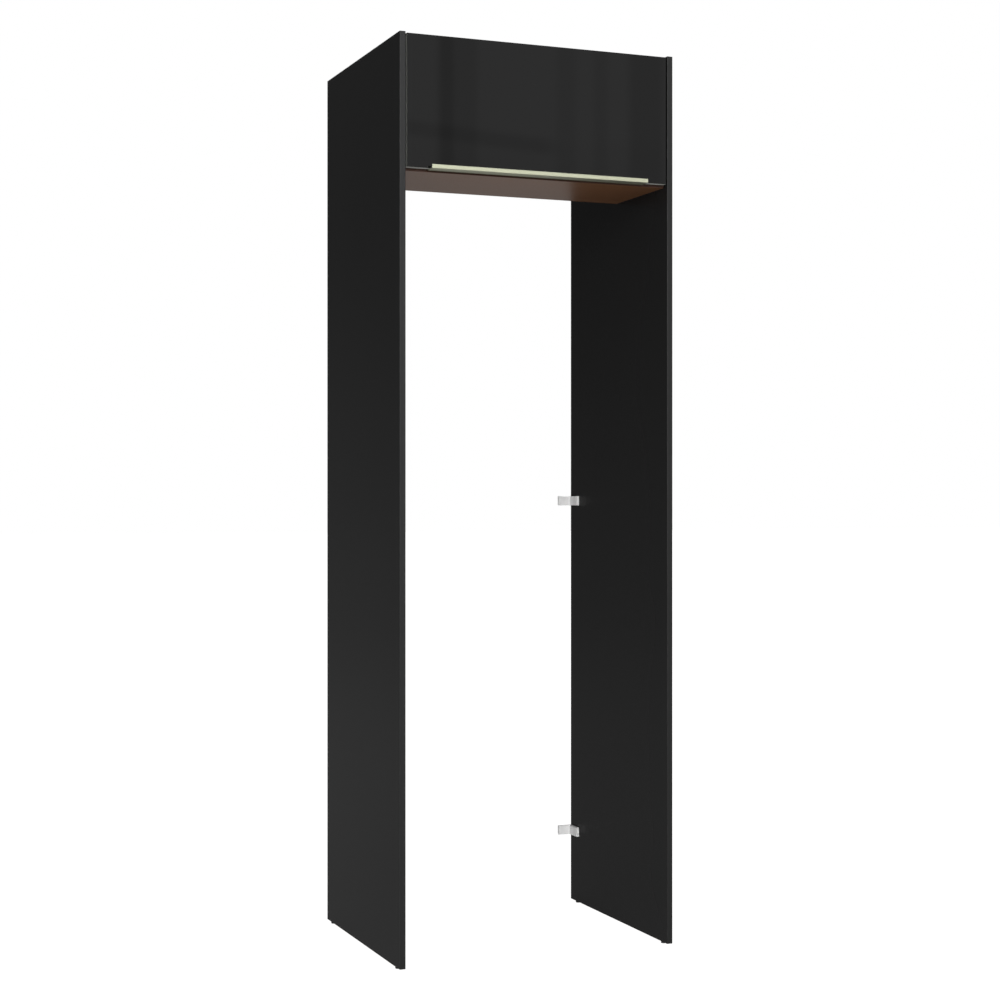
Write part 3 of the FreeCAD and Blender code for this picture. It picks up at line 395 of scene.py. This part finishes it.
finishes = {
    "graphite_board": faced_board("graphite_board", (0.0115, 0.0115, 0.0115), 0.42, 0.0, (1.0, 0.0, 0.0),
                                  sheen=0.3),
    "graphite_edge": edging("graphite_edge", (0.0035, 0.0035, 0.0035), 0.33, 0.42),
    "gloss_front": gloss_face("gloss_front", (0.003, 0.003, 0.003), (0.0125, 0.0125, 0.0125)),
    # grey_edge: first colour painted light on its top and bottom, second painted shade on its uprights
    "grey_edge": front_lacquered_edging("grey_edge", (0.55, 0.56, 0.52), (0.32, 0.33, 0.30),
                                        (0.006, 0.006, 0.006), 0.5, 0.1),
    "brown_board": faced_board("brown_board", (0.213, 0.095, 0.042), 0.32, 0.13, (0.0, 0.0, 1.0)),
    # brown_edge: the boards' brown painted about four times darker, as painted shade under the flap
    "brown_edge": edging("brown_edge", (0.05, 0.022, 0.014), 0.4, 0.2),
    "hardboard": edging("hardboard", (0.16, 0.10, 0.06), 0.7, 0.3),
    "handle_aluminium": metal("handle_aluminium", (0.50, 0.513, 0.385), 0.5, (0.02, 1.0, 1.0)),
    "zinc_steel": metal("zinc_steel", (0.62, 0.63, 0.64), 0.32, (1.0, 1.0, 0.15)),
    "cast_zinc": metal("cast_zinc", (0.45, 0.45, 0.46), 0.45, (1.0, 1.0, 1.0)),
    "white_plastic": plastic("white_plastic", (0.93, 0.93, 0.925), 0.4),
    "black_plastic": plastic("black_plastic", (0.015, 0.015, 0.015), 0.45),
    "brown_plastic": plastic("brown_plastic", (0.10, 0.06, 0.045), 0.45),
    "strut_enamel": plastic("strut_enamel", (0.012, 0.012, 0.013), 0.25),
    "chromed_rod": metal("chromed_rod", (0.75, 0.76, 0.78), 0.09, (1.0, 1.0, 0.05), bump=0.02),
    "beech": edging("beech", (0.50, 0.35, 0.20), 0.7, 0.3),
    "clear_rubber": plastic("clear_rubber", (0.65, 0.65, 0.63), 0.3),
}
for row in frame["record"]["subparts"]:
    for socket in nodes[row["node"]].material_slots:
        socket.material = finishes[row["material_slot"]]


# ---- pieces made here in place of a CAD node ----------------------------------------------------
def stand_in(mesh, name):
    """Makes a smooth zinc-plated piece of a mesh, on the body of the CAD node that it replaces."""
    mesh.polygons.foreach_set("use_smooth", np.ones(len(mesh.polygons), bool))
    mesh.materials.append(finishes["zinc_steel"])
    mesh.update()
    piece = bpy.data.objects.new(mesh.name, mesh)
    scene.collection.objects.link(piece)
    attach(piece, nodes[name]["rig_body"])
    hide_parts(name)


def merged_triangles(name):
    """Corners and triangles of a CAD node, its corners at one place merged."""
    mesh = nodes[name].data
    places = np.empty(len(mesh.vertices) * 3, np.float32)
    mesh.vertices.foreach_get("co", places)
    ends = np.empty(len(mesh.loops), np.int32)
    mesh.loops.foreach_get("vertex_index", ends)
    corners, merged = np.unique(np.round(places.reshape(-1, 3), 6), axis=0, return_inverse=True)
    return corners, merged.reshape(-1)[ends].reshape(-1, 3)


def separate_solids(name):
    """Lowest and highest corner of each solid of a CAD node. Every corner starts with its own label, and
    the smaller label spreads over each triangle until nothing changes."""
    corners, triangles = merged_triangles(name)
    labels = np.arange(len(corners))
    settled = False
    while not settled:
        before = labels.copy()
        np.minimum.at(labels, triangles, labels[triangles].min(axis=1)[:, None])
        settled = bool((before == labels).all())
    solids = [corners[labels == label] for label in np.unique(labels)]
    return [(solid.min(axis=0), solid.max(axis=0)) for solid in solids]


# ---- screws -------------------------------------------------------------------------------------
def smooth_rise(value):
    """0 below 0, 1 above 1, and three squares less two cubes between."""
    inside = np.clip(value, 0.0, 1.0)
    return inside * inside * (3.0 - 2.0 * inside)


def screw_rings(head, shank, crown, seat, length, pitch, roundness):
    """Radius and height of every point of one screw that points along -Z, its head's underside at 0.

    The crown is a quarter of a superellipse from the middle of the head to its rim, pressed in along a
    cross of two round-edged bars. A cone of the seat's depth, or a flat underside, leads to the shank.
    The shank's radius is its core plus a ridge that climbs one pitch each turn, and both shrink to the
    point."""
    columns, crown_rows, rows_per_turn = 36, 15, 6
    # the cross: half the width of a bar, the length of its arm, its depth, and its bars' rounded edges
    bar, reach, depth = head * 0.14, head * 0.56, head * 0.34
    edge_slope, edge_start = 1.6, 0.3
    # the thread: half the ridge's width in turns, and its share of the radius
    ridge_half_width, ridge_share = 0.28, 0.28
    # the point: its length, and its blunt tip's share of the radius
    taper, tip_share = 1.6 * shank, 0.03
    around = np.linspace(0.0, 2.0 * math.pi, columns, endpoint=False)
    quarter = np.linspace(0.02, 1.0, crown_rows)[:, None] * math.pi / 2
    crown_radius = head * np.sin(quarter) ** (2.0 / roundness) * np.ones_like(around)
    crown_height = crown * np.cos(quarter) ** (2.0 / roundness) * np.ones_like(around)
    along, beside = np.abs(crown_radius * np.cos(around)), np.abs(crown_radius * np.sin(around))
    cross = np.zeros_like(crown_radius)
    for first, second in ((along, beside), (beside, along)):
        inside_width = smooth_rise((bar - second) / bar * edge_slope + edge_start)
        inside_length = smooth_rise((reach - first) / bar)
        cross = np.maximum(cross, inside_width * inside_length)
    crown_height = crown_height - depth * cross

    travel = np.linspace(0.0, 1.0, 3 + int(rows_per_turn * (length - seat) / pitch))[:, None]
    height = -seat - (length - seat) * travel
    turn = np.mod(height / pitch + around / (2.0 * math.pi), 1.0)
    ridge = np.clip(1.0 - np.abs(turn - 0.5) / ridge_half_width, 0.0, 1.0)
    point = np.clip((1.0 - travel) * (length - seat) / taper, tip_share, 1.0)
    shank_radius = shank * point * (1.0 - ridge_share + ridge_share * ridge)
    shank_height = height * np.ones_like(around)
    radius = np.vstack([crown_radius, shank_radius])
    return radius, np.vstack([crown_height, shank_height]), around


def screw_set(name, heads_face, head, shank, crown, seat, pitch, roundness=2.6):
    """All the screws of one CAD node as one mesh: the rings of a screw, joined by a grid of quads with
    its two poles closed, copied to each solid's middle line and turned so that its head faces the given
    way, or the cabinet's middle where none is given."""
    solids = separate_solids(name)
    places, faces = [], []
    for low, high in solids:
        middle = (low + high) / 2
        inwards = (-np.sign(middle[0]), 0.0, 0.0)
        out = np.array(heads_face or inwards, float)
        first = np.roll(np.abs(out), 1)
        second = np.cross(out, first)
        whole_length = float(np.abs((high - low) @ out))
        length = whole_length - crown
        radius, height, around = screw_rings(head, shank, crown, seat, length, pitch, roundness)
        top = middle + out * whole_length / 2
        flat = ((radius * np.cos(around))[..., None] * first
                + (radius * np.sin(around))[..., None] * second)
        points = top + flat + (height - crown)[..., None] * out
        rows, columns = radius.shape
        grid = np.arange(rows * columns).reshape(rows, columns) + sum(len(block) for block in places)
        turned = np.roll(grid, -1, axis=1)
        quads = np.stack([grid[:-1], grid[1:], turned[1:], turned[:-1]], axis=-1).reshape(-1, 4)
        places.append(points.reshape(-1, 3))
        faces += quads.tolist() + [grid[0].tolist(), grid[-1, ::-1].tolist()]
    mesh = bpy.data.meshes.new(name + "_turned")
    mesh.from_pydata(np.vstack(places), [], faces)
    stand_in(mesh, name)


board_screw = {"head": 0.0036, "shank": 0.00175, "crown": 0.002, "seat": 0.0, "pitch": 0.0016}
screw_set("wall_angle_screws", None, **board_screw)
screw_set("strut_foot_screws", None, **board_screw)
screw_set("hinge_plate_screws", (0, 0, -1), **board_screw)
screw_set("hinge_cup_screws", (0, 1, 0), **board_screw)
screw_set("strut_door_bracket_screws", (0, 1, 0), **board_screw)
screw_set("hinge_arm_screws", (0, 0, -1), head=0.003, shank=0.002, crown=0.0015, seat=0.0, pitch=0.0008,
          roundness=6.0)
screw_set("handle_screws", (0, 1, 0), head=0.00295, shank=0.00175, crown=0.0, seat=0.0012, pitch=0.0016)


# ---- right-hand foot bracket --------------------------------------------------------------------
def foot_bracket_twin(name, twin):
    """A foot bracket as the mirror image of its twin: the twin's corners with X turned round, each
    triangle's corners in the other order so that it still points outwards, and no triangle that has
    shrunk to a line."""
    corners, triangles = merged_triangles(twin)
    first, second, third = triangles.T
    whole = (first != second) & (second != third) & (third != first)
    mesh = bpy.data.meshes.new(name + "_mirrored")
    mesh.from_pydata(corners * (-1.0, 1.0, 1.0), [], triangles[whole][:, ::-1].tolist())
    stand_in(mesh, name)
    mesh.set_sharp_from_angle(angle=math.radians(30.0))


foot_bracket_twin("right_strut_foot_bracket", "left_strut_foot_bracket")


# ---- studio -------------------------------------------------------------------------------------
def floor():
    """A square of plain pale floor around the cabinet, wide enough to reach the horizon."""
    reach = 60.0
    mesh = bpy.data.meshes.new("studio_floor")
    mesh.from_pydata([(-reach, -reach, 0), (reach, -reach, 0), (reach, reach, 0), (-reach, reach, 0)], [],
                     [(0, 1, 2, 3)])
    ground = bpy.data.objects.new("studio_floor", mesh)
    scene.collection.objects.link(ground)
    material, tree, shader = new_material("pale_floor", Base_Color=(0.3, 0.3, 0.3, 1), Roughness=0.9,
                                          Specular_IOR_Level=0.0, Emission_Color=(1.0, 1.0, 1.0, 1))
    axes = add(tree, "ShaderNodeSeparateXYZ")
    wire(tree, add(tree, "ShaderNodeTexCoord").outputs["Object"], axes.inputs[0])
    seen = add(tree, "ShaderNodeLightPath").outputs["Is Camera Ray"]
    near = fade(tree, axes.outputs["Y"], -2.0, 1.2, 0.41, 0.28)
    far = fade(tree, axes.outputs["Y"], 1.0, 14.0, 1.0, 0.55)
    glow = arithmetic(tree, "MULTIPLY", near, far)
    wire(tree, spread(tree, seen, glow, 1.0), shader.inputs["Emission Strength"])
    mesh.materials.append(material)


floor()

camera = bpy.data.cameras.new("camera")
camera.lens = 68.915
camera.sensor_width = 36.0
camera.clip_end = 300.0
viewer = bpy.data.objects.new("camera", camera)
scene.collection.objects.link(viewer)
viewer.location = (-1.876375, -4.697927, 1.145392)
viewer.rotation_euler = (math.pi / 2, 0, math.radians(-21.8853))
scene.camera = viewer
scene.view_settings.view_transform = "Standard"

world = bpy.data.worlds.new("studio")
world.use_nodes = True
scene.world = world

# azimuth from, to, its border; elevation from, to, its border; strength
light_panels = [
    (-30.0, 8.0, 6.0, 3.0, 18.0, 6.0, 9.0),
    (-75.0, -33.0, 10.0, -5.0, 15.0, 5.0, 2.1),
    (6.0, 60.0, 8.0, -5.0, 20.0, 6.0, 0.215),
    (5.0, 60.0, 10.0, 22.0, 45.0, 8.0, 1.5),
]
# azimuth from, to, its border, and depth of the dark uprights between the panels
dark_uprights = [
    (20.1, 20.5, 0.2, 0.20),
    (20.0, 21.2, 0.25, 0.14),
    (23.6, 24.15, 0.3, 0.11),
    (24.7, 25.1, 0.3, 0.12),
    (25.75, 26.75, 0.35, 0.20),
]
# azimuth from and to, level from, to, its border, slope and depth of a bar across them
dark_crossbar = (12.0, 23.5, 13.28, 13.7, 0.25, 0.13, 0.17)
# elevations between which the light grows from a slightly dimmed share to its whole, and both shares
low_haze = (math.radians(10.2), math.radians(10.8), 0.965, 1.0)


def studio_light(tree):
    """Soft light panels round the cabinet, over a faint fill, with a plain white backdrop seen behind.

    A direction's azimuth is 0 in front of the cabinet and grows to its right, and its elevation is 0 at
    the floor's horizon. Each panel is a window of both with soft borders."""
    backdrop = tree.nodes["Background"]
    backdrop.inputs["Color"].default_value = (1, 1, 1, 1)
    axes = add(tree, "ShaderNodeSeparateXYZ")
    wire(tree, add(tree, "ShaderNodeTexCoord").outputs["Generated"], axes.inputs[0])
    ahead = arithmetic(tree, "MULTIPLY", axes.outputs["Y"], -1.0)
    azimuth = arithmetic(tree, "ARCTAN2", axes.outputs["X"], ahead)
    elevation = arithmetic(tree, "ARCSINE", axes.outputs["Z"])

    def window(angle, first, last, border):
        """1 between two angles in degrees, 0 beyond a soft border."""
        first, last, half = math.radians(first), math.radians(last), math.radians(border / 2)
        opening = fade(tree, angle, first - half, first + half)
        closing = fade(tree, angle, last - half, last + half, 1.0, 0.0)
        return arithmetic(tree, "MULTIPLY", opening, closing)

    front_fill = fade(tree, ahead, -0.6, 0.7, 0.13, 0.45)
    low_fill = fade(tree, elevation, -0.02, 0.16, 0.12, 0.0)
    total = arithmetic(tree, "ADD", front_fill, low_fill)
    for first, last, side_border, low, high, border, strength in light_panels:
        area = arithmetic(tree, "MULTIPLY", window(azimuth, first, last, side_border),
                          window(elevation, low, high, border))
        total = arithmetic(tree, "ADD", total, arithmetic(tree, "MULTIPLY", area, strength))
    total = arithmetic(tree, "MULTIPLY", total, fade(tree, elevation, *low_haze))
    for first, last, border, depth in dark_uprights:
        kept = spread(tree, window(azimuth, first, last, border), 1.0, 1.0 - depth)
        total = arithmetic(tree, "MULTIPLY", total, kept)
    first, last, low, high, border, slope, depth = dark_crossbar
    level = arithmetic(tree, "ADD", elevation, arithmetic(tree, "MULTIPLY", azimuth, slope))
    crossed = arithmetic(tree, "MULTIPLY", window(azimuth, first, last, 1.0),
                         window(level, low, high, border))
    total = arithmetic(tree, "MULTIPLY", total, spread(tree, crossed, 1.0, 1.0 - depth))
    seen = add(tree, "ShaderNodeLightPath").outputs["Is Camera Ray"]
    wire(tree, arithmetic(tree, "MAXIMUM", total, seen), backdrop.inputs["Strength"])


studio_light(world.node_tree)
